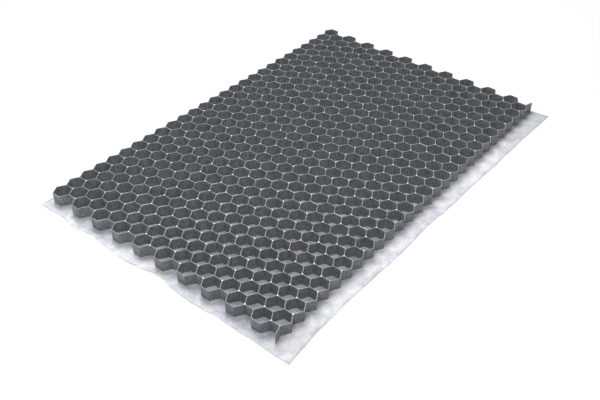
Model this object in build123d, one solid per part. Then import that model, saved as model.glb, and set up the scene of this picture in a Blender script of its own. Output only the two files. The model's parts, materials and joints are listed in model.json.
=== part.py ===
from build123d import *
import math
import os

# A gravel grid: a honeycomb panel of three moulded plastic modules, bonded to a sheet of fleece.
# X runs along the long side, Y across it, Z up. The fleece's underside is at Z = 0, and the
# origin is at the middle of the fleece, which is the largest piece. Rows of cells are counted
# from the back (+Y) to the front (-Y), and cells from the left (-X). Sizes are in millimetres.

# Panel
GRID_LENGTH = 1166.0
GRID_HEIGHT = 31.0
MODULE_NAMES = ["grid_module_left", "grid_module_middle", "grid_module_right"]
CELLS_PER_MODULE = 9
ROWS = 20

# Walls and the round ejector posts at some of their junctions
WALL = 1.2
POST_RADIUS = 2.2
POST_PATTERN_ROWS = 10
POST_PATTERN_TURN = 5

# Fleece, with how far it shows beyond the grid on each side
FLEECE_THICKNESS = 1.0
FLEECE_SHOWS_LEFT = 30.0
FLEECE_SHOWS_RIGHT = 6.0
FLEECE_SHOWS_FRONT = 46.0
FLEECE_SHOWS_BACK = 6.0

# Worked out from these
MODULE_LENGTH = GRID_LENGTH / len(MODULE_NAMES)
PITCH = (MODULE_LENGTH - WALL) / CELLS_PER_MODULE
SIDE = PITCH / math.sqrt(3)
ROW_STEP = 1.5 * SIDE
CORNER_REACH = WALL / math.sqrt(3)
GRID_WIDTH = (ROWS - 1) * ROW_STEP + 2 * SIDE + 2 * CORNER_REACH
POST_ALONG_WALL = math.sqrt(POST_RADIUS**2 - (WALL / 2) ** 2)
FLEECE_LENGTH = GRID_LENGTH + FLEECE_SHOWS_LEFT + FLEECE_SHOWS_RIGHT
FLEECE_WIDTH = GRID_WIDTH + FLEECE_SHOWS_FRONT + FLEECE_SHOWS_BACK
GRID_LEFT = -FLEECE_LENGTH / 2 + FLEECE_SHOWS_LEFT
FIRST_ROW_Y = FLEECE_WIDTH / 2 - FLEECE_SHOWS_BACK - CORNER_REACH - SIDE

# From this dot product on, two unit directions count as the same
SAME_DIRECTION = 0.999


def is_odd(row):
    return row % 2 == 1


def row_y(row):
    """Height in Y of a row's cell centres."""
    return FIRST_ROW_Y - row * ROW_STEP


def junction(half_steps, row, end):
    """A wall junction, in a module's own X: end is +1 at a row's back zigzag, -1 at its front one.

    half_steps counts half pitches from the module's left wall. Each row's own walls meet the
    zigzags at half a side from its centre line, and its cells' peaks lie a whole side from it.
    """
    at_wall = (half_steps + row) % 2 == 0
    reach = SIDE / 2 if at_wall else SIDE
    return Vector(half_steps * PITCH / 2, row_y(row) + end * reach)


def rounded(point):
    """A point as a pair of numbers that come out the same for every path through it."""
    return (round(point.X, 3), round(point.Y, 3))


def has_post(point):
    """Whether a round post stands at a junction."""
    return rounded(point) in POSTS


def post_places():
    """The junctions with a post, which repeat every ten rows.

    Of each ten rows, the first five have posts at the front ends of their walls, the next has
    none, and the last four have them at the back ends. Even rows have one at each wall between
    two cells, and odd rows one at every other wall. The last of the ten has them at the front
    ends of its remaining walls too.
    """
    junctions = []
    for row in range(ROWS):
        turn = row % POST_PATTERN_ROWS
        if turn == POST_PATTERN_TURN:
            continue
        end = -1 if turn < POST_PATTERN_TURN else 1
        if is_odd(row):
            steps = range(1, 2 * CELLS_PER_MODULE, 4)
        else:
            steps = range(2, 2 * CELLS_PER_MODULE, 2)
        junctions += [junction(half_steps, row, end) for half_steps in steps]
        if turn == POST_PATTERN_ROWS - 1:
            steps = range(3, 2 * CELLS_PER_MODULE, 4)
            junctions += [junction(half_steps, row, -1) for half_steps in steps]
    return {rounded(place) for place in junctions}


def wall_faces(path):
    """The closed wire half a wall to the left of a closed path along the walls' centre lines.

    A junction with a post is rounded by it. A path that turns straight back runs round the
    free end of a wall, which is cut off square to X.
    """
    pieces = []
    for index, here in enumerate(path):
        ahead = (path[(index + 1) % len(path)] - here).normalized()
        behind = (path[index - 1] - here).normalized()
        left_ahead = Vector(-ahead.Y, ahead.X)
        left_behind = Vector(behind.Y, -behind.X)
        if ahead.dot(behind) > SAME_DIRECTION:
            beyond = math.copysign(WALL / 2, -ahead.X)
            tip = here + ahead * (beyond / ahead.X)
            half_cut = Vector(0, math.copysign(CORNER_REACH, left_behind.Y))
            pieces.append([tip + half_cut, tip - half_cut])
        elif has_post(here):
            bisector = (left_ahead + left_behind).normalized()
            start = here + behind * POST_ALONG_WALL + left_behind * (WALL / 2)
            end = here + ahead * POST_ALONG_WALL + left_ahead * (WALL / 2)
            pieces.append([start, here + bisector * POST_RADIUS, end])
        else:
            bisector = (left_ahead + left_behind).normalized()
            pieces.append([here + bisector * CORNER_REACH])
    edges = []
    for index, corner in enumerate(pieces):
        following = pieces[(index + 1) % len(pieces)]
        if len(corner) == 3:
            edges.append(Edge.make_three_point_arc(*corner))
        if len(corner) == 2:
            edges.append(Edge.make_line(*corner))
        edges.append(Edge.make_line(corner[-1], following[0]))
    return Wire(edges)


def cell_wire(half_steps, row):
    """The inside of one cell, whose centre is half_steps half pitches from the left wall."""
    path = [
        junction(half_steps - 1, row, 1),
        junction(half_steps - 1, row, -1),
        junction(half_steps, row, -1),
        junction(half_steps + 1, row, -1),
        junction(half_steps + 1, row, 1),
        junction(half_steps, row, 1),
    ]
    return wall_faces(path)


def outer_wire():
    """The outside of a module: a zigzag at back and front, stepped ends, two free wall ends.

    It runs clockwise, so that the outside is on its left.
    """
    last = 2 * CELLS_PER_MODULE
    path = [junction(half_steps, 0, 1) for half_steps in range(last + 1)]
    for row in range(ROWS):
        edge = last - 1 if is_odd(row) else last
        if row > 0:
            path.append(junction(edge, row, 1))
        path.append(junction(edge, row, -1))
    path += [junction(half_steps, ROWS - 1, -1) for half_steps in range(last, -1, -1)]
    for row in reversed(range(ROWS)):
        edge = 1 if is_odd(row) else 0
        path.append(junction(edge, row, -1))
        if row > 0:
            path.append(junction(edge, row, 1))
    return wall_faces(path)


def grid_module(place):
    """One moulded module, the place-th from the left."""
    holes = []
    for row in range(ROWS):
        first = 2 if is_odd(row) else 1
        for half_steps in range(first, 2 * CELLS_PER_MODULE, 2):
            holes.append(cell_wire(half_steps, row))
    section = Face(outer_wire(), holes)
    solid = extrude(section, amount=GRID_HEIGHT, dir=(0, 0, 1))
    left = GRID_LEFT + place * MODULE_LENGTH + WALL / 2
    return Pos(left, 0, FLEECE_THICKNESS) * solid


def fleece():
    """The fleece under the grid, as one flat sheet."""
    base = (Align.CENTER, Align.CENTER, Align.MIN)
    return Box(FLEECE_LENGTH, FLEECE_WIDTH, FLEECE_THICKNESS, align=base)


POSTS = post_places()

os.makedirs("parts", exist_ok=True)
for place, name in enumerate(MODULE_NAMES):
    export_step(grid_module(place), f"parts/{name}.step")
export_step(fleece(), "parts/geotextile_fleece.step")
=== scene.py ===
import json
import math

import bmesh
import bpy
from mathutils import Matrix, Vector, noise
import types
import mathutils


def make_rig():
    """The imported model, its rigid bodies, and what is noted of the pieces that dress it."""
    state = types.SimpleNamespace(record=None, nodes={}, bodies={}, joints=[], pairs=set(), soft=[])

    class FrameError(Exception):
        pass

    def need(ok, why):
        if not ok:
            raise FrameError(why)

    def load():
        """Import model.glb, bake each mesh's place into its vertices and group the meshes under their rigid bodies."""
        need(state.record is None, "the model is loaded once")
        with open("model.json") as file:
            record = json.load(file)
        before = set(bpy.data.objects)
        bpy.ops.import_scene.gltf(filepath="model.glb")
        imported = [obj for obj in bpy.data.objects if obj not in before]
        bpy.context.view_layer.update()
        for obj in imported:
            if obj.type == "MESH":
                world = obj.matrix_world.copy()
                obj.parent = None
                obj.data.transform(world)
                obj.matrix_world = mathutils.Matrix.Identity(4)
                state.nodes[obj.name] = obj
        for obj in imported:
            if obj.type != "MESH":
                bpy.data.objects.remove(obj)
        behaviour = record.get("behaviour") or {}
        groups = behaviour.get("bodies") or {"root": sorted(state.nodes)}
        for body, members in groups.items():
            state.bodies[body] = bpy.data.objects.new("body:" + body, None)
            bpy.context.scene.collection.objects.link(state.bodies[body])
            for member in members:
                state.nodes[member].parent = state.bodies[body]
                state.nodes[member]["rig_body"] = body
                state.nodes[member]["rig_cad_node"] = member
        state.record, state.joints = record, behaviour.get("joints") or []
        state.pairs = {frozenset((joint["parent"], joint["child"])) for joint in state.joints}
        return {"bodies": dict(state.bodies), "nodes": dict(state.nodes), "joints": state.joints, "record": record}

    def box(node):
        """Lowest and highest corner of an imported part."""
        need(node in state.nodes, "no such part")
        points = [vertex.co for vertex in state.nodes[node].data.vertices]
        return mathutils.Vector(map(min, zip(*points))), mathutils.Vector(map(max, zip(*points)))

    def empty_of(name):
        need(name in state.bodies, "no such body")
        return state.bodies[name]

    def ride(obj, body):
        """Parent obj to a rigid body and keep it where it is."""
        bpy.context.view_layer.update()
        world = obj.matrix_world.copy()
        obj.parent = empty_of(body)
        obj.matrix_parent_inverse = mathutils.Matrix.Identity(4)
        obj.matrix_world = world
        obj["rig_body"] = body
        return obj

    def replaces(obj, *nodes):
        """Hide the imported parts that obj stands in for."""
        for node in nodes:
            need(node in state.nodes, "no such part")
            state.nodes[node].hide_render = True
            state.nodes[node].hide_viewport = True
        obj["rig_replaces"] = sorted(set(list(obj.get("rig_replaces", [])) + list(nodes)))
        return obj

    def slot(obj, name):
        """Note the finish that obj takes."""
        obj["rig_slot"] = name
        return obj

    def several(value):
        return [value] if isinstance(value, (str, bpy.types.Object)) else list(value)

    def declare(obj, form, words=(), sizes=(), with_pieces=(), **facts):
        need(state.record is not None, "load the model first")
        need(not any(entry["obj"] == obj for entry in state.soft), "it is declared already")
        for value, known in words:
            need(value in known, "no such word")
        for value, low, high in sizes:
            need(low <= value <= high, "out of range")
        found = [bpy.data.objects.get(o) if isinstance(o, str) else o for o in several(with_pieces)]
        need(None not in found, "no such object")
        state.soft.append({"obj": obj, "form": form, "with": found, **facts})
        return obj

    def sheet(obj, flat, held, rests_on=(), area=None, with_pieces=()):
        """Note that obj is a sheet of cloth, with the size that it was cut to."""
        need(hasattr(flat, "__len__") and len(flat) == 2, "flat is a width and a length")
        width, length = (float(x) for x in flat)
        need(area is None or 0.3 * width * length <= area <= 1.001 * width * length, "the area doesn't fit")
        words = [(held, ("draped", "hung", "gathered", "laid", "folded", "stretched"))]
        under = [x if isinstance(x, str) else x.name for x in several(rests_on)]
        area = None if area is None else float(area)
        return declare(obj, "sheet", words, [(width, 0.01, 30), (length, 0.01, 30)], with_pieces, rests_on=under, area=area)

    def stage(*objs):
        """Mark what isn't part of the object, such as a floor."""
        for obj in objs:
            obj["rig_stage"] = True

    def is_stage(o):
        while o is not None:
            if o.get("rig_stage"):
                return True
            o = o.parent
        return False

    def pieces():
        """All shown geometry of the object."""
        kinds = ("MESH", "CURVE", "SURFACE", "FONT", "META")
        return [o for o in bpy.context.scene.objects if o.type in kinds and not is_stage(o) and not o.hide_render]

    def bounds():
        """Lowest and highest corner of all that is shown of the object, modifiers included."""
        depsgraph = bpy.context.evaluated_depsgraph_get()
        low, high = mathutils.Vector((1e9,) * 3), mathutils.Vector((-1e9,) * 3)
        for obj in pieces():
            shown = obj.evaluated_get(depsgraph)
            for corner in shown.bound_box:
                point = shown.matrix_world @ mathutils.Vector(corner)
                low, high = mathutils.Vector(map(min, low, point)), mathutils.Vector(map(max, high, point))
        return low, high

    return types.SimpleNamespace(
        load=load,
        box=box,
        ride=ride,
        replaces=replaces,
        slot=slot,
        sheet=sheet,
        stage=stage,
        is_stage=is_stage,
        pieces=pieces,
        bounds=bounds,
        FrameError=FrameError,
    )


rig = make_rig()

bl_info = {
    "name": "Gravel Grid",
    "version": (1, 0, 0),
    "blender": (4, 5, 0),
    "location": "3D View > Sidebar > Gravel Grid",
    "description": "Makes a honeycomb gravel grid of three moulded modules on a sheet of fleece",
    "category": "Add Mesh",
}

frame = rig.load()
CAD_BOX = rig.bounds()

# The frame's nodes and what is read from them, in metres
MODULE_NODES = ["grid_module_left", "grid_module_middle", "grid_module_right"]
FLEECE_NODE = "geotextile_fleece"
MODULE_BOXES = [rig.box(name) for name in MODULE_NODES]
FLEECE_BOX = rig.box(FLEECE_NODE)
GRID_BASE = MODULE_BOXES[0][0].z
GRID_TOP = MODULE_BOXES[0][1].z
GRID_BACK = MODULE_BOXES[0][1].y
GRID_FRONT = MODULE_BOXES[0][0].y
GRID_LEFT = MODULE_BOXES[0][0].x
GRID_RIGHT = MODULE_BOXES[-1][1].x

# The moulding's rules
CELLS = 9  # whole cells in an even row of a module, with one less in an odd row
ROWS = 20
POST_ROWS = 10  # rows after which the pattern of posts repeats
POST_TURN = 5  # the row of that pattern that has no posts
MITRE = 2 / math.sqrt(3)  # how far a corner moves out when its two faces move out by 1
SAME_DIRECTION = 0.999  # two unit vectors with a larger dot product point the same way

# How finely the mesh is made
ROUNDING_STEPS = 3
CORNER_POINTS = 2
POST_SIDES = 16
POST_CROWN = ((0.6, 0.9), (0.3, 0.8), (0.1, 0.7))  # each step's share of the rise, and its scale
SHARP_ANGLE = math.radians(35)

# Points, heights and whole numbers that are closer than these are the same
WELD = 1e-6
SAME_HEIGHT = 1e-5
SAME_COUNT = 0.1

# How far the fleece shows beyond the grid, in millimetres at even steps: at the ends from back to
# front, and at the front and back from left to right. It is trimmed nearly flush at the right end
# and the back.
LEFT_MARGIN = [
    28, 27, 24, 26, 31, 26, 23, 28, 30, 32.5, 31, 26, 19,
    18, 26, 29, 29.5, 29, 23, 26, 26, 25, 26, 27, 26,
]
FRONT_MARGIN = [
    50.5, 46.5, 41.5, 40.5, 38.5, 39.5, 40.5, 41.5, 42.5, 41.5, 39.5, 38.5,
    42.5, 43.5, 42.5, 43.5, 44.5, 46.5, 44.5, 46.5, 45.5, 46.5, 48.5, 49.5,
]
RIGHT_MARGIN = [5, 6, 5.5, 6.5, 7, 6, 6.5, 8]
BACK_MARGIN = [6, 7, 6, 5.5, 6.5, 7, 6, 5]

# The fleece's top lies this far under the walls' feet, so that no two faces share a plane
FLEECE_GAP = 0.00005

# Waves per metre and pattern of the noises that make the fleece's cut and its lift uneven
CUT_NOISE = (90, 5.0)
LIFT_NOISE = (17, 2.0)

# The directions of the fleece's fibres, the bands over which a painted shade sets in under the grid, at its left end
# and at its front, and how far from the fleece's two front corners a painted shade reaches
FIBRE_TURNS = [math.radians(turn) for turn in (12.0, 71.0, 133.0)]
GRID_SHADE_X = (GRID_LEFT - 0.028, GRID_LEFT - 0.004)
GRID_SHADE_Y = (GRID_FRONT - 0.002, GRID_FRONT + 0.006)
CORNER_SHADE_REACH = 0.75

# How much longer a draw mark or a fibre is than it is wide, as the share its noise is scaled by
MARK_STRETCH = 0.06
FIBRE_STRETCH = 0.08

# The heights over which a painted highlight turns the plastic pale, first at the rims and then at the posts' crowns
RIM_BAND = (GRID_TOP - 0.0003, GRID_TOP - 0.00005)
CROWN_BAND = (GRID_TOP + 0.00008, GRID_TOP + 0.0002)

# Each lamp's size and place, under the name of the setting that holds its power
LAMPS = {
    "key": (1.6, (0.63, 1.10, 2.72)),
    "fill": (1.6, (-2.31, -1.62, 1.03)),
    "over": (0.8, (-1.0, -0.25, 1.5)),
    "front": (0.8, (-0.2, -1.1, 1.3)),
    "end": (0.6, (-1.15, 0.42, 0.35)),
}
GROUND_SIZE = 12.0
GROUND_GLOW = 1.06
GLOW_SHARE = 0.8  # of what the camera sees, and the ground's own shading is the rest

# The point that the camera looks at, its direction and its roll
CAMERA_TARGET = Vector((-0.1962, -0.1140, GRID_TOP))
CAMERA_FORWARD = Vector((0.60645, 0.48843, -0.62742))
CAMERA_ROLL = math.radians(0.367)
SENSOR_WIDTH = 36.0


class GridSettings(bpy.types.PropertyGroup):
    """Sizes and colours of the moulded modules."""

    wall: bpy.props.FloatProperty(
        name="Wall", description="Thickness of the cell walls", default=0.0012, unit="LENGTH"
    )
    rim_rounding: bpy.props.FloatProperty(
        name="Rim rounding",
        description="Radius along the top of the walls",
        default=0.0003,
        unit="LENGTH",
    )
    corner_rounding: bpy.props.FloatProperty(
        name="Corner rounding",
        description="Radius inside the cells' corners",
        default=0.0009,
        unit="LENGTH",
    )
    post_radius: bpy.props.FloatProperty(
        name="Post radius",
        description="Radius of the round posts where walls meet",
        default=0.0022,
        unit="LENGTH",
    )
    post_rise: bpy.props.FloatProperty(
        name="Post rise",
        description="How far the posts' crowns stand above the rim",
        default=0.00025,
        unit="LENGTH",
    )
    end_bend: bpy.props.FloatProperty(
        name="End bend",
        description="How far the free walls at the panel's two front corners are bent back",
        default=math.radians(12.0),
        subtype="ANGLE",
    )
    colour: bpy.props.FloatVectorProperty(
        name="Plastic",
        description="Colour of the walls",
        default=(0.184, 0.201, 0.216),
        subtype="COLOR",
    )
    # The rims' colour is a painted highlight, patchy along them
    rim_highlight_colour: bpy.props.FloatVectorProperty(
        name="Rim",
        description="Colour of the scuffed rims",
        default=(0.51, 0.53, 0.545),
        subtype="COLOR",
    )
    # The posts' tops are near white as a painted highlight
    crown_highlight_colour: bpy.props.FloatVectorProperty(
        name="Crown",
        description="Colour of the posts' tops",
        default=(0.86, 0.865, 0.87),
        subtype="COLOR",
    )


class FleeceSettings(bpy.types.PropertyGroup):
    """Sizes and colour of the fleece."""

    thickness: bpy.props.FloatProperty(
        name="Thickness", description="Thickness of the fleece", default=0.0005, unit="LENGTH"
    )
    spacing: bpy.props.FloatProperty(
        name="Mesh spacing",
        description="Distance between the sheet's points",
        default=0.005,
        unit="LENGTH",
    )
    edge_wander: bpy.props.FloatProperty(
        name="Edge wander",
        description="How unevenly the edges were cut",
        default=0.0012,
        unit="LENGTH",
    )
    edge_lift: bpy.props.FloatProperty(
        name="Edge lift",
        description="How far the free margins lift off the ground at most",
        default=0.0032,
        unit="LENGTH",
    )
    colour: bpy.props.FloatVectorProperty(
        name="Fibres",
        description="Colour where the fleece is thick",
        default=(0.955, 0.955, 0.985),
        subtype="COLOR",
    )
    # Colour of thin fleece, and also of the fleece's painted shade, bluish like shadowed fleece
    thin_and_shade_colour: bpy.props.FloatVectorProperty(
        name="Thin fibres",
        description="Colour where the fleece is thin",
        default=(0.36, 0.385, 0.44),
        subtype="COLOR",
    )


class StudioSettings(bpy.types.PropertyGroup):
    """Light and camera."""

    key: bpy.props.FloatProperty(
        name="Key", description="Power of the large soft lamp high behind the panel", default=81.0
    )
    fill: bpy.props.FloatProperty(
        name="Fill", description="Power of the low soft lamp in front on the left", default=6.8
    )
    over: bpy.props.FloatProperty(
        name="Over", description="Power of the near lamp above the left end", default=8.2
    )
    front: bpy.props.FloatProperty(
        name="Front", description="Power of the near lamp in front", default=6.5
    )
    end: bpy.props.FloatProperty(
        name="End", description="Power of the near low lamp at the left end", default=1.0
    )
    lens: bpy.props.FloatProperty(
        name="Lens", description="Focal length in millimetres", default=47.9
    )
    distance: bpy.props.FloatProperty(
        name="Distance",
        description="From the camera to the point it looks at",
        default=1.999,
        unit="LENGTH",
    )


def add_node(tree, kind, values=None, **settings):
    """A new node with its settings, its inputs set to values or linked to other sockets."""
    node = tree.nodes.new(kind)
    for name, value in settings.items():
        setattr(node, name, value)
    for key, value in (values or {}).items():
        if isinstance(value, bpy.types.NodeSocket):
            tree.links.new(value, node.inputs[key])
        else:
            node.inputs[key].default_value = value
    return node


def calc(tree, operation, *values):
    """The result of one Math node."""
    return add_node(tree, "ShaderNodeMath", dict(enumerate(values)), operation=operation).outputs[0]


def weighted(tree, parts, start=0.0):
    """The sum of start and of each value times its weight."""
    total = start
    for value, weight in parts:
        total = calc(tree, "MULTIPLY_ADD", value, weight, total)
    return total


def vector(tree, x=0.0, y=0.0, z=0.0):
    """A vector put together from three numbers or sockets."""
    return add_node(tree, "ShaderNodeCombineXYZ", {"X": x, "Y": y, "Z": z}).outputs[0]


def ramp(tree, value, start, end):
    """0 where the value is at start, 1 where it is at end, and held beyond them."""
    limits = {"Value": value, "From Min": start, "From Max": end}
    return add_node(tree, "ShaderNodeMapRange", limits).outputs[0]


def blend(tree, share, first, second):
    """The first colour where the share is 0 and the second one where it is 1."""
    sockets = {0: share, 6: first, 7: second}  # the Mix node's factor and its two colours
    return add_node(tree, "ShaderNodeMix", sockets, data_type="RGBA").outputs[2]


class ModuleOutline:
    """The closed path of wall junctions round a module, and its outline at a given distance."""

    def __init__(self, low, high, wall, bends):
        """bends maps the half step at which a free wall ends to its turn in radians."""
        self.wall = wall
        self.bends = bends
        self.pitch = (high.x - low.x - wall) / CELLS
        self.side = self.pitch / math.sqrt(3)
        self.left = low.x + wall / 2
        self.first_row = high.y - wall / 2 * MITRE - self.side
        self.path = self.junctions()

    def junction(self, half_steps, row, end):
        """A wall junction; end is 1 at a row's back zigzag and -1 at its front one."""
        at_wall = (half_steps + row) % 2 == 0
        reach = self.side / 2 if at_wall else self.side
        x = self.left + half_steps * self.pitch / 2
        return Vector((x, self.first_row - row * 1.5 * self.side + end * reach))

    def free_end(self, half_steps, foot_steps):
        """The end of the free wall at a front corner, turned about its foot by its bend."""
        foot = self.junction(foot_steps, ROWS - 1, -1)
        reach = self.junction(half_steps, ROWS - 1, -1) - foot
        reach.rotate(Matrix.Rotation(self.bends.get(half_steps, 0.0), 2))
        return foot + reach

    def junctions(self):
        """Clockwise from the back left: zigzag, stepped end, zigzag and stepped end.

        The front zigzag runs on past the last cells as a free wall at each end.
        """
        last = 2 * CELLS
        path = [self.junction(half_steps, 0, 1) for half_steps in range(last + 1)]
        for row in range(ROWS):
            edge = last - row % 2
            if row > 0:
                path.append(self.junction(edge, row, 1))
            path.append(self.junction(edge, row, -1))
        path.append(self.free_end(last, last - 1))
        path += [self.junction(half_steps, ROWS - 1, -1) for half_steps in range(last - 1, 0, -1)]
        path.append(self.free_end(0, 1))
        for row in reversed(range(ROWS)):
            path.append(self.junction(row % 2, row, -1))
            if row > 0:
                path.append(self.junction(row % 2, row, 1))
        return path

    def at(self, offset):
        """The outline's points at that distance outside the walls' centre lines."""
        points = []
        for index, here in enumerate(self.path):
            ahead = (self.path[(index + 1) % len(self.path)] - here).normalized()
            behind = (self.path[index - 1] - here).normalized()
            left_ahead = Vector((-ahead.y, ahead.x))
            left_behind = Vector((behind.y, -behind.x))
            if ahead.dot(behind) > SAME_DIRECTION:
                # The path turns back at the end of a free wall, which is cut along Y
                slope = offset / abs(ahead.x)
                tip = here - ahead * slope
                half_cut = Vector((0, math.copysign(slope, left_behind.y)))
                points += [tip + half_cut, tip - half_cut]
            else:
                corner = (left_ahead + left_behind).normalized()
                points.append(here + corner * (offset / corner.dot(left_ahead)))
        return points


def rounding_profile(radius):
    """The rim's section from the wall's face to its flat top, as pairs of inset and drop."""
    steps = []
    for step in range(ROUNDING_STEPS + 1):
        turn = math.pi / 2 * step / ROUNDING_STEPS
        steps.append((radius * (1 - math.cos(turn)), radius * (1 - math.sin(turn))))
    return steps


def outline_mesh(name, outline, grid):
    """The outer skin of a module, from the fleece to the rounded rim, with no top or bottom."""
    rings = [(outline.wall / 2, GRID_BASE)]
    for inset, drop in rounding_profile(grid.rim_rounding):
        rings.append((outline.wall / 2 - inset, GRID_TOP - drop))
    points = []
    for offset, height in rings:
        points += [(point.x, point.y, height) for point in outline.at(offset)]
    count = len(points) // len(rings)
    faces = []
    for ring in range(len(rings) - 1):
        low = ring * count
        for index in range(count):
            following = (index + 1) % count
            here, ahead = low + index, low + following
            faces.append((here, here + count, ahead + count, ahead))
    mesh = bpy.data.meshes.new(name)
    mesh.from_pydata(points, [], faces)
    return mesh


def row_places(tree, index, per_row, inputs):
    """Row, column, whether the row is odd, and the row's Y, for points numbered row by row.

    Here and below, a half is added to or taken from whole numbers where they are compared or
    rounded down, so that rounding can't tip them over.
    """
    row = calc(tree, "FLOOR", calc(tree, "DIVIDE", calc(tree, "ADD", index, 0.5), per_row))
    column = calc(tree, "SUBTRACT", index, calc(tree, "MULTIPLY", row, per_row))
    odd = calc(tree, "MODULO", row, 2.0)
    row_step = calc(tree, "MULTIPLY", inputs["Pitch"], math.sqrt(3) / 2)
    y = calc(tree, "SUBTRACT", inputs["First Row Y"], calc(tree, "MULTIPLY", row, row_step))
    return row, column, odd, y


def points_at(tree, points, place, left_out):
    """The points at their places, without those that are left out."""
    placed = add_node(tree, "GeometryNodeSetPosition", {"Geometry": points, "Position": place})
    pick = {"Geometry": placed.outputs[0], "Selection": left_out}
    return add_node(tree, "GeometryNodeDeleteGeometry", pick, domain="POINT").outputs[0]


def cell_points(tree, inputs):
    """A point at the middle of each whole cell."""
    count = calc(tree, "MULTIPLY", inputs["Rows"], inputs["Cells"])
    points = add_node(tree, "GeometryNodePoints", {"Count": count}).outputs[0]
    index = add_node(tree, "GeometryNodeInputIndex").outputs[0]
    row, column, odd, y = row_places(tree, index, inputs["Cells"], inputs)
    shift = calc(tree, "ADD", calc(tree, "MULTIPLY", odd, 0.5), 0.5)
    along = calc(tree, "MULTIPLY", calc(tree, "ADD", column, shift), inputs["Pitch"])
    x = calc(tree, "ADD", inputs["Left Wall X"], along)
    last = calc(tree, "GREATER_THAN", column, calc(tree, "SUBTRACT", inputs["Cells"], 1.5))
    half_cell = calc(tree, "MULTIPLY", odd, last)
    place = vector(tree, x, y, inputs["Base"])
    return points_at(tree, points, place, half_cell)


def post_points(tree, inputs):
    """A point at the foot of each post, by the rule that repeats every ten rows.

    The first five rows have posts at the front ends of their walls, the next has none, and the
    last four have them at the back ends: at each inner wall of an even row, and at every other
    wall of an odd row. The tenth row also has them at its remaining walls, at the front ends.
    """
    count = calc(tree, "MULTIPLY", inputs["Rows"], inputs["Cells"])
    points = add_node(tree, "GeometryNodePoints", {"Count": count}).outputs[0]
    index = add_node(tree, "GeometryNodeInputIndex").outputs[0]
    row, column, odd, y = row_places(tree, index, inputs["Cells"], inputs)
    turn = calc(tree, "MODULO", row, float(POST_ROWS))
    even_steps = calc(tree, "MULTIPLY_ADD", column, 2.0, 2.0)
    odd_steps = calc(tree, "MULTIPLY_ADD", column, 4.0, 1.0)
    spread = calc(tree, "MULTIPLY", odd, calc(tree, "SUBTRACT", odd_steps, even_steps))
    steps = calc(tree, "ADD", even_steps, spread)
    module_steps = calc(tree, "MULTIPLY", inputs["Cells"], 2.0)
    beyond = calc(tree, "GREATER_THAN", steps, calc(tree, "SUBTRACT", module_steps, 0.5))
    tenth = calc(tree, "COMPARE", turn, POST_ROWS - 1.0, SAME_COUNT)
    again = calc(tree, "MULTIPLY", beyond, tenth)
    half_steps = calc(tree, "SUBTRACT", steps, calc(tree, "MULTIPLY", again, module_steps))
    half_pitch = calc(tree, "MULTIPLY", inputs["Pitch"], 0.5)
    x = calc(tree, "MULTIPLY_ADD", half_steps, half_pitch, inputs["Left Wall X"])
    late = calc(tree, "GREATER_THAN", turn, POST_TURN - 0.5)
    at_back = calc(tree, "SUBTRACT", late, again)
    end = calc(tree, "MULTIPLY_ADD", at_back, 2.0, -1.0)
    half_side = calc(tree, "MULTIPLY", inputs["Pitch"], 0.5 / math.sqrt(3))
    at_end = calc(tree, "MULTIPLY_ADD", end, half_side, y)
    place = vector(tree, x, at_end, inputs["Base"])
    no_post_row = calc(tree, "COMPARE", turn, float(POST_TURN), SAME_COUNT)
    left_out = calc(tree, "ADD", no_post_row, calc(tree, "SUBTRACT", beyond, again))
    return points_at(tree, points, place, left_out)


def cell_liner(tree, inputs):
    """The inside of one cell: a hexagonal tube with soft corners that widens over the rim."""
    clear = calc(tree, "SUBTRACT", inputs["Pitch"], inputs["Wall"])
    radius = calc(tree, "DIVIDE", clear, math.sqrt(3))
    hexagon = add_node(
        tree,
        "GeometryNodeCurvePrimitiveCircle",
        {"Resolution": 6, "Radius": radius},
        mode="RADIUS",
    )
    turned = add_node(
        tree,
        "GeometryNodeTransform",
        {"Geometry": hexagon.outputs[0], "Rotation": (0, 0, math.radians(30))},
    )
    rounding = inputs["Corner Rounding"]
    fillet = add_node(
        tree,
        "GeometryNodeFilletCurve",
        {"Curve": turned.outputs[0], "Count": CORNER_POINTS, "Radius": rounding},
        mode="POLY",
    )
    mesh = add_node(tree, "GeometryNodeCurveToMesh", {"Curve": fillet.outputs[0]}).outputs[0]
    straight = calc(tree, "SUBTRACT", inputs["Height"], inputs["Rim Rounding"])
    tube = add_node(
        tree,
        "GeometryNodeExtrudeMesh",
        {"Mesh": mesh, "Offset": vector(tree, z=straight)},
        mode="EDGES",
    )
    skin, top = tube.outputs[0], tube.outputs[1]
    inside = calc(tree, "MULTIPLY", clear, 0.5)
    before_inset, before_drop = 0.0, 1.0
    for inset, drop in rounding_profile(1.0)[1:]:
        rise = calc(tree, "MULTIPLY", inputs["Rim Rounding"], before_drop - drop)
        step = add_node(
            tree,
            "GeometryNodeExtrudeMesh",
            {"Mesh": skin, "Selection": top, "Offset": vector(tree, z=rise)},
            mode="EDGES",
        )
        was = calc(tree, "MULTIPLY_ADD", inputs["Rim Rounding"], before_inset, inside)
        now = calc(tree, "MULTIPLY_ADD", inputs["Rim Rounding"], inset, inside)
        factor = calc(tree, "DIVIDE", now, was)
        position = add_node(tree, "GeometryNodeInputPosition").outputs[0]
        wider = add_node(
            tree,
            "ShaderNodeVectorMath",
            {0: position, 1: vector(tree, factor, factor, 1.0)},
            operation="MULTIPLY",
        ).outputs[0]
        moved = add_node(
            tree,
            "GeometryNodeSetPosition",
            {"Geometry": step.outputs[0], "Selection": step.outputs[1], "Position": wider},
        )
        skin, top = moved.outputs[0], step.outputs[1]
        before_inset, before_drop = inset, drop
    return skin


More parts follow.
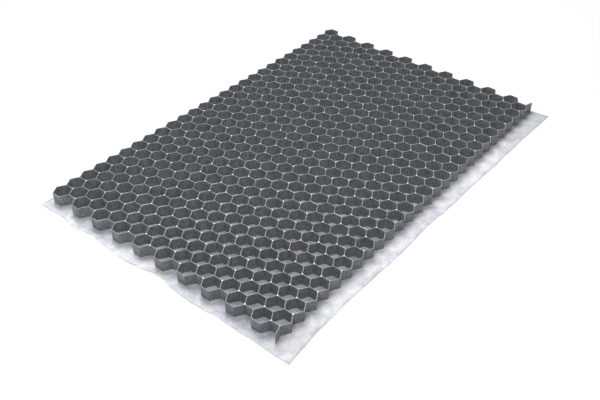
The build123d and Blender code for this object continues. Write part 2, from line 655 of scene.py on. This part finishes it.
def post(tree, inputs):
    """One round post with a low rounded crown."""
    body = add_node(
        tree,
        "GeometryNodeMeshCylinder",
        {"Vertices": POST_SIDES, "Radius": inputs["Post Radius"], "Depth": inputs["Height"]},
        fill_type="NGON",
    )
    middle = vector(tree, z=calc(tree, "MULTIPLY", inputs["Height"], 0.5))
    move = {"Geometry": body.outputs[0], "Translation": middle}
    raised = add_node(tree, "GeometryNodeTransform", move)
    crown, top = raised.outputs[0], body.outputs["Top"]
    for share, width in POST_CROWN:
        rise = calc(tree, "MULTIPLY", inputs["Post Rise"], share)
        step = add_node(
            tree,
            "GeometryNodeExtrudeMesh",
            {"Mesh": crown, "Selection": top, "Offset": vector(tree, z=rise)},
            mode="FACES",
        )
        scaled = add_node(
            tree,
            "GeometryNodeScaleElements",
            {"Geometry": step.outputs[0], "Selection": step.outputs[1], "Scale": width},
        )
        crown, top = scaled.outputs[0], step.outputs[1]
    return crown


def lid(tree, skins, height, from_above):
    """A flat face between the skins' free edges at that height, facing up or else down."""
    faces = add_node(tree, "GeometryNodeInputMeshEdgeNeighbors").outputs[0]
    free = calc(tree, "LESS_THAN", faces, 1.5)
    position = add_node(tree, "GeometryNodeInputPosition").outputs[0]
    level = add_node(tree, "ShaderNodeSeparateXYZ", {0: position}).outputs["Z"]
    near = calc(tree, "COMPARE", level, height, SAME_HEIGHT)
    edges = add_node(
        tree,
        "GeometryNodeSeparateGeometry",
        {"Geometry": skins, "Selection": calc(tree, "MULTIPLY", free, near)},
        domain="EDGE",
    ).outputs[0]
    curves = add_node(tree, "GeometryNodeMeshToCurve", {"Mesh": edges}).outputs[0]
    filled = add_node(tree, "GeometryNodeFillCurve", {"Curve": curves}).outputs[0]
    flat = add_node(
        tree, "GeometryNodeSetPosition", {"Geometry": filled, "Offset": vector(tree, z=height)}
    ).outputs[0]
    if from_above:
        return flat
    return add_node(tree, "GeometryNodeFlipFaces", {"Mesh": flat}).outputs[0]


def module_tree():
    """The moulding's rule: staggered cells in the outline, closed above and below, and posts."""
    tree = bpy.data.node_groups.new("honeycomb_module", "GeometryNodeTree")
    face = tree.interface
    face.new_socket("Outline", in_out="INPUT", socket_type="NodeSocketGeometry")
    for name in ("Rows", "Cells"):
        face.new_socket(name, in_out="INPUT", socket_type="NodeSocketInt")
    sizes = ["Pitch", "Wall", "Left Wall X", "First Row Y", "Base", "Height"]
    sizes += ["Rim Rounding", "Corner Rounding", "Post Radius", "Post Rise"]
    for name in sizes:
        face.new_socket(name, in_out="INPUT", socket_type="NodeSocketFloat")
    face.new_socket("Plastic", in_out="INPUT", socket_type="NodeSocketMaterial")
    face.new_socket("Module", in_out="OUTPUT", socket_type="NodeSocketGeometry")
    inputs = add_node(tree, "NodeGroupInput").outputs

    cells = {"Points": cell_points(tree, inputs), "Instance": cell_liner(tree, inputs)}
    liners = add_node(tree, "GeometryNodeInstanceOnPoints", cells)
    inner_skin = add_node(tree, "GeometryNodeRealizeInstances", {0: liners.outputs[0]}).outputs[0]
    skins = add_node(tree, "GeometryNodeJoinGeometry", {0: inner_skin})
    tree.links.new(inputs["Outline"], skins.inputs[0])
    top = calc(tree, "ADD", inputs["Base"], inputs["Height"])
    closed = add_node(tree, "GeometryNodeJoinGeometry", {0: skins.outputs[0]})
    tree.links.new(lid(tree, skins.outputs[0], top, True), closed.inputs[0])
    tree.links.new(lid(tree, skins.outputs[0], inputs["Base"], False), closed.inputs[0])
    doubles = {"Geometry": closed.outputs[0], "Distance": WELD}
    welded = add_node(tree, "GeometryNodeMergeByDistance", doubles)

    places = {"Points": post_points(tree, inputs), "Instance": post(tree, inputs)}
    posts = add_node(tree, "GeometryNodeInstanceOnPoints", places)
    whole = add_node(tree, "GeometryNodeJoinGeometry", {0: welded.outputs[0]})
    tree.links.new(posts.outputs[0], whole.inputs[0])
    real = add_node(tree, "GeometryNodeRealizeInstances", {0: whole.outputs[0]})
    finish = {"Geometry": real.outputs[0], "Material": inputs["Plastic"]}
    finished = add_node(tree, "GeometryNodeSetMaterial", finish)
    add_node(tree, "NodeGroupOutput", {0: finished.outputs[0]})
    return tree


def set_inputs(modifier, values):
    """Sets a Geometry Nodes modifier's inputs by their sockets' identifiers."""
    for item in modifier.node_group.interface.items_tree:
        if item.in_out == "INPUT" and item.name in values:
            modifier[item.identifier] = values[item.name]


def plain_mesh(thing):
    """A copy of the evaluated object's mesh, with every face pointing outwards."""
    graph = bpy.context.evaluated_depsgraph_get()
    mesh = bpy.data.meshes.new_from_object(thing.evaluated_get(graph), depsgraph=graph)
    work = bmesh.new()
    work.from_mesh(mesh)
    bmesh.ops.recalc_face_normals(work, faces=work.faces)
    work.to_mesh(mesh)
    work.free()
    return mesh


def noise_at(tree, place, scale, detail=3.0):
    """A noise texture's value at a scale given in features per metre."""
    texture = {"Vector": place, "Scale": scale, "Detail": detail}
    return add_node(tree, "ShaderNodeTexNoise", texture).outputs[0]


def stretched(tree, value, spread=0.16):
    """A noise value drawn out so that 0.5 less the spread is 0 and 0.5 with the spread is 1."""
    return ramp(tree, value, 0.5 - spread, 0.5 + spread)


def shades(colour, low, high):
    """A darker and a paler shade of a colour, for a mix node."""
    return [[min(1.0, channel * share) for channel in colour] + [1.0] for share in (low, high)]


def grid_plastic(grid):
    """Dark moulded polypropylene: mottled satin, with draw marks down the walls, and a painted highlight on the rims
    and on the posts' crowns.
    """
    material = bpy.data.materials.new("grid_plastic")
    material.use_nodes = True
    tree = material.node_tree
    shader = tree.nodes["Principled BSDF"]
    place = add_node(tree, "ShaderNodeTexCoord").outputs["Object"]
    down_walls = {"Vector": place, "Scale": (1.0, 1.0, MARK_STRETCH)}
    drawn = add_node(tree, "ShaderNodeMapping", down_walls).outputs[0]
    cloud = stretched(tree, noise_at(tree, place, 45.0))
    grain = stretched(tree, noise_at(tree, place, 190.0), spread=0.12)
    streak = stretched(tree, noise_at(tree, drawn, 400.0))
    fine = noise_at(tree, place, 1500.0)
    tone = weighted(tree, ((cloud, 0.2), (grain, 0.45), (streak, 0.35)))
    dark, pale = shades(grid.colour, 0.52, 1.48)
    walls = blend(tree, tone, dark, pale)

    level = add_node(tree, "ShaderNodeSeparateXYZ", {0: place}).outputs["Z"]
    # Painted highlight on the rims, patchy along them, over the top band of the walls
    highlight_patches = weighted(tree, ((streak, 0.35), (cloud, 0.45)), start=0.45)
    rim_highlight = calc(tree, "MULTIPLY", ramp(tree, level, *RIM_BAND), highlight_patches)
    rims = blend(tree, rim_highlight, walls, (*grid.rim_highlight_colour, 1.0))
    # Painted highlight on the posts' crowns
    crowns = blend(tree, ramp(tree, level, *CROWN_BAND), rims, (*grid.crown_highlight_colour, 1.0))
    tree.links.new(crowns, shader.inputs["Base Color"])

    tree.links.new(calc(tree, "MULTIPLY_ADD", tone, 0.2, 0.32), shader.inputs["Roughness"])
    relief = weighted(tree, ((fine, 0.5), (streak, 0.5)))
    bumps = {"Height": relief, "Strength": 0.25, "Distance": 0.0002}
    tree.links.new(add_node(tree, "ShaderNodeBump", bumps).outputs[0], shader.inputs["Normal"])
    return material


def fleece_fibres(fleece):
    """Pale spunbonded fleece: a patchy mat of fine crossing fibres, bluish where it is thin and in its painted shade.

    It has a painted shade towards its two front corners, and a painted shade under the grid and beside its left end
    and front, where the walls shade it.
    """
    material = bpy.data.materials.new("fleece")
    material.use_nodes = True
    tree = material.node_tree
    shader = tree.nodes["Principled BSDF"]
    place = add_node(tree, "ShaderNodeTexCoord").outputs["Object"]
    patch = stretched(tree, noise_at(tree, place, 7.0, 1.0))
    cloud = stretched(tree, noise_at(tree, place, 32.0))
    tuft = stretched(tree, noise_at(tree, place, 210.0))
    mats = []
    for turn in FIBRE_TURNS:
        laid = add_node(
            tree,
            "ShaderNodeMapping",
            {"Vector": place, "Rotation": (0, 0, turn), "Scale": (1.0, FIBRE_STRETCH, 1.0)},
        ).outputs[0]
        mats.append(noise_at(tree, laid, 1400.0, 2.0))
    mat = calc(tree, "MAXIMUM", calc(tree, "MAXIMUM", mats[0], mats[1]), mats[2])

    axes = add_node(tree, "ShaderNodeSeparateXYZ", {0: place}).outputs
    mirrored = add_node(tree, "ShaderNodeVectorMath", {0: place}, operation="ABSOLUTE").outputs[0]
    to_corner = {0: mirrored, 1: (FLEECE_BOX[1].x, FLEECE_BOX[1].y, 0.0)}
    away = add_node(tree, "ShaderNodeVectorMath", to_corner, operation="DISTANCE").outputs["Value"]
    in_front = calc(tree, "LESS_THAN", axes["Y"], 0.0)
    # Painted shade: darker towards the fleece's two front corners
    corner_shade = calc(tree, "MULTIPLY", ramp(tree, away, CORNER_SHADE_REACH, 0.0), in_front)
    # Painted shade inside the cells and in the walls' shadow just outside the grid's left end and front
    right_of_end = ramp(tree, axes["X"], *GRID_SHADE_X)
    behind_front = ramp(tree, axes["Y"], *GRID_SHADE_Y)
    grid_shade = calc(tree, "MULTIPLY", right_of_end, behind_front)

    fibres = ((patch, 0.18), (cloud, 0.4), (tuft, 0.22), (mat, 0.45))
    # Both painted shades darken the fleece towards its thin, bluish colour
    painted_shades = ((corner_shade, -0.2), (grid_shade, -0.22))
    tone = weighted(tree, fibres + painted_shades)
    colour = blend(tree, tone, (*fleece.thin_and_shade_colour, 1.0), (*fleece.colour, 1.0))
    tree.links.new(colour, shader.inputs["Base Color"])
    shader.inputs["Roughness"].default_value = 0.9
    shader.inputs["Specular IOR Level"].default_value = 0.2
    relief = weighted(tree, ((cloud, 0.4), (mat, 0.6)))
    bumps = {"Height": relief, "Strength": 0.5, "Distance": 0.0008}
    tree.links.new(add_node(tree, "ShaderNodeBump", bumps).outputs[0], shader.inputs["Normal"])
    return material


def seen_rays(tree):
    """1 where a ray comes from the camera, a reflection or a clear material, and 0 for light."""
    ray = add_node(tree, "ShaderNodeLightPath").outputs
    seen = calc(tree, "MAXIMUM", ray["Is Camera Ray"], ray["Is Glossy Ray"])
    return calc(tree, "MAXIMUM", seen, ray["Is Transmission Ray"])


def ground_material():
    """A ground that looks white and keeps some of the shadow under the object."""
    material = bpy.data.materials.new("white_ground")
    material.use_nodes = True
    tree = material.node_tree
    shader = tree.nodes["Principled BSDF"]
    shader.inputs["Base Color"].default_value = (0.9, 0.9, 0.9, 1.0)
    shader.inputs["Roughness"].default_value = 0.9
    white = {"Color": (1, 1, 1, 1), "Strength": GROUND_GLOW}
    glow = add_node(tree, "ShaderNodeEmission", white).outputs[0]
    share = calc(tree, "MULTIPLY", seen_rays(tree), GLOW_SHARE)
    mix = {0: share, 1: shader.outputs[0], 2: glow}
    mixed = add_node(tree, "ShaderNodeMixShader", mix).outputs[0]
    tree.links.new(mixed, tree.nodes["Material Output"].inputs["Surface"])
    return material


def show(name, mesh):
    """A new object with that mesh, in the scene."""
    thing = bpy.data.objects.new(name, mesh)
    bpy.context.scene.collection.objects.link(thing)
    return thing


def uneven(x, y, per_metre, pattern):
    """Smooth noise between -1 and 1, which is the same on each run."""
    return noise.noise(Vector((x * per_metre, y * per_metre, pattern)))


def margin_share(place, grid_edge, sheet_edge):
    """How far out in a margin a point lies: 0 up to the grid's edge and 1 at the sheet's edge."""
    return max(0.0, (place - grid_edge) / (sheet_edge - grid_edge))


def margin(widths, share):
    """The margin's width in metres, at a share of the way along its list of millimetres."""
    place = share * (len(widths) - 1)
    index = min(int(place), len(widths) - 2)
    between = place - index
    eased = between * between * (3 - 2 * between)
    return (widths[index] * (1 - eased) + widths[index + 1] * eased) / 1000


class GRAVELGRID_OT_modules(bpy.types.Operator):
    """Make the three moulded honeycomb modules"""

    bl_idname = "gravel_grid.modules"
    bl_label = "Make grid modules"

    def execute(self, context):
        grid = context.scene.gravel_grid
        plastic = grid_plastic(grid)
        rule = module_tree()
        for node, (low, high) in zip(MODULE_NODES, MODULE_BOXES):
            bends = {}
            if node == MODULE_NODES[0]:
                bends[0] = -grid.end_bend
            if node == MODULE_NODES[-1]:
                bends[2 * CELLS] = grid.end_bend
            outline = ModuleOutline(low, high, grid.wall, bends)
            shell = show(node + "_outline", outline_mesh(node + "_outline", outline, grid))
            modifier = shell.modifiers.new("honeycomb", "NODES")
            modifier.node_group = rule
            set_inputs(
                modifier,
                {
                    "Rows": ROWS,
                    "Cells": CELLS,
                    "Pitch": outline.pitch,
                    "Wall": grid.wall,
                    "Left Wall X": outline.left,
                    "First Row Y": outline.first_row,
                    "Base": GRID_BASE,
                    "Height": GRID_TOP - GRID_BASE,
                    "Rim Rounding": grid.rim_rounding,
                    "Corner Rounding": grid.corner_rounding,
                    "Post Radius": grid.post_radius,
                    "Post Rise": grid.post_rise,
                    "Plastic": plastic,
                },
            )
            mesh = plain_mesh(shell)
            mesh.shade_smooth()
            mesh.set_sharp_from_angle(angle=SHARP_ANGLE)
            bpy.data.objects.remove(shell)
            module = show("moulded_" + node, mesh)
            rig.replaces(module, node)
            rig.slot(module, "grid_plastic")
            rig.ride(module, "root")
        return {"FINISHED"}


class GRAVELGRID_OT_fleece(bpy.types.Operator):
    """Make the sheet of fleece under the grid"""

    bl_idname = "gravel_grid.fleece"
    bl_label = "Make fleece"

    def execute(self, context):
        fleece = context.scene.gravel_fleece
        low, high = FLEECE_BOX
        columns = round((high.x - low.x) / fleece.spacing)
        rows = round((high.y - low.y) / fleece.spacing)
        points = []
        for row in range(rows + 1):
            for column in range(columns + 1):
                points.append(self.laid(fleece, column / columns, row / rows))
        faces = []
        for row in range(rows):
            for column in range(columns):
                start = row * (columns + 1) + column
                faces.append((start, start + 1, start + columns + 2, start + columns + 1))
        mesh = bpy.data.meshes.new("fleece_sheet")
        mesh.from_pydata(points, [], faces)
        sheet = show("fleece_sheet", mesh)
        solid = sheet.modifiers.new("thickness", "SOLIDIFY")
        solid.thickness = fleece.thickness
        solid.offset = -1.0
        mesh = plain_mesh(sheet)
        mesh.shade_smooth()
        bpy.data.objects.remove(sheet)
        sheet = show("fleece_sheet", mesh)
        mesh.materials.append(fleece_fibres(fleece))
        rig.replaces(sheet, FLEECE_NODE)
        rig.slot(sheet, "fleece")
        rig.ride(sheet, "root")
        corners = [vertex.co for vertex in mesh.vertices]
        length = max(corner.x for corner in corners) - min(corner.x for corner in corners)
        width = max(corner.y for corner in corners) - min(corner.y for corner in corners)
        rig.sheet(sheet, flat=(width, length), held="laid")
        return {"FINISHED"}

    def laid(self, fleece, along, across):
        """Where a point of the sheet lies, from its shares of the length and the width."""
        low, high = FLEECE_BOX
        x = low.x + (high.x - low.x) * along
        y = low.y + (high.y - low.y) * across
        left = margin_share(x, GRID_LEFT, low.x)
        right = margin_share(x, GRID_RIGHT, high.x)
        front = margin_share(y, GRID_FRONT, low.y)
        back = margin_share(y, GRID_BACK, high.y)
        if left > 0:
            x = GRID_LEFT - left * margin(LEFT_MARGIN, 1 - across)
        if right > 0:
            x = GRID_RIGHT + right * margin(RIGHT_MARGIN, 1 - across)
        if front > 0:
            y = GRID_FRONT - front * margin(FRONT_MARGIN, along)
        if back > 0:
            y = GRID_BACK + back * margin(BACK_MARGIN, along)
        # The cut's wander and the lift grow from nothing at the grid to their most at the edge
        wander = uneven(x, y, *CUT_NOISE) * fleece.edge_wander
        x += wander * (left**3 - right**3)
        y += wander * (front**3 - back**3)
        ripple = uneven(x, y, *LIFT_NOISE) * 0.5 + 0.5
        lift = fleece.edge_lift * ripple * max(left, front) ** 1.5
        return (x, y, GRID_BASE - FLEECE_GAP + lift)


class GRAVELGRID_OT_studio(bpy.types.Operator):
    """Make the white ground, the soft light and the camera"""

    bl_idname = "gravel_grid.studio"
    bl_label = "Make studio"

    def execute(self, context):
        studio = context.scene.gravel_studio
        self.ground()
        self.light(context.scene, studio)
        self.camera(context.scene, studio)
        context.scene.view_settings.view_transform = "Standard"
        return {"FINISHED"}

    def ground(self):
        """A wide flat ground, declared as stage."""
        mesh = bpy.data.meshes.new("ground")
        work = bmesh.new()
        bmesh.ops.create_grid(work, x_segments=1, y_segments=1, size=GROUND_SIZE)
        work.to_mesh(mesh)
        work.free()
        mesh.materials.append(ground_material())
        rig.stage(show("ground", mesh))

    def light(self, scene, studio):
        """A world that looks white and lights nothing but gloss, and the lamps."""
        world = bpy.data.worlds.new("white_room")
        world.use_nodes = True
        tree = world.node_tree
        background = tree.nodes["Background"]
        background.inputs["Color"].default_value = (1, 1, 1, 1)
        tree.links.new(seen_rays(tree), background.inputs["Strength"])
        scene.world = world
        for name, (size, place) in LAMPS.items():
            self.lamp(name + "_box", getattr(studio, name), size, place)

    def lamp(self, name, power, size, place):
        """A square soft lamp that faces the middle of the panel and isn't itself seen."""
        data = bpy.data.lights.new(name, "AREA")
        data.size = size
        data.energy = power
        box = show(name, data)
        box.location = place
        box.rotation_euler = (-box.location).to_track_quat("-Z", "Y").to_euler()
        box.visible_camera = False

    def camera(self, scene, studio):
        """The camera, placed as in the photo."""
        data = bpy.data.cameras.new("photo_camera")
        data.lens = studio.lens
        data.sensor_width = SENSOR_WIDTH
        camera = show("photo_camera", data)
        forward = CAMERA_FORWARD.normalized()
        camera.location = CAMERA_TARGET - forward * studio.distance
        roll = Matrix.Rotation(CAMERA_ROLL, 3, "Z")
        turn = forward.to_track_quat("-Z", "Y").to_matrix() @ roll
        camera.rotation_euler = turn.to_euler()
        scene.camera = camera


class GRAVELGRID_PT_panel(bpy.types.Panel):
    """Lists the settings and the buttons that make each piece."""

    bl_idname = "GRAVELGRID_PT_panel"
    bl_label = "Gravel Grid"
    bl_space_type = "VIEW_3D"
    bl_region_type = "UI"
    bl_category = "Gravel Grid"

    def draw(self, context):
        scene = context.scene
        groups = (
            (scene.gravel_grid, GRAVELGRID_OT_modules),
            (scene.gravel_fleece, GRAVELGRID_OT_fleece),
            (scene.gravel_studio, GRAVELGRID_OT_studio),
        )
        for settings, operator in groups:
            box = self.layout.box()
            for name in settings.__annotations__:
                box.prop(settings, name)
            box.operator(operator.bl_idname)


CLASSES = [
    GridSettings,
    FleeceSettings,
    StudioSettings,
    GRAVELGRID_OT_modules,
    GRAVELGRID_OT_fleece,
    GRAVELGRID_OT_studio,
    GRAVELGRID_PT_panel,
]


def register():
    """Adds the classes, and the settings of the scene."""
    for item in CLASSES:
        bpy.utils.register_class(item)
    bpy.types.Scene.gravel_grid = bpy.props.PointerProperty(type=GridSettings)
    bpy.types.Scene.gravel_fleece = bpy.props.PointerProperty(type=FleeceSettings)
    bpy.types.Scene.gravel_studio = bpy.props.PointerProperty(type=StudioSettings)


def unregister():
    """Takes away what register added."""
    del bpy.types.Scene.gravel_studio
    del bpy.types.Scene.gravel_fleece
    del bpy.types.Scene.gravel_grid
    for item in reversed(CLASSES):
        bpy.utils.unregister_class(item)


def main():
    """Makes every piece and the studio, and writes the boxes of the CAD and the finished part."""
    register()
    bpy.ops.gravel_grid.modules()
    bpy.ops.gravel_grid.fleece()
    bpy.ops.gravel_grid.studio()
    boxes = {"cad": CAD_BOX, "visual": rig.bounds()}
    with open("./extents.json", "w") as file:
        json.dump({name: [list(corner) for corner in box] for name, box in boxes.items()}, file)


if __name__ == "__main__":
    main()
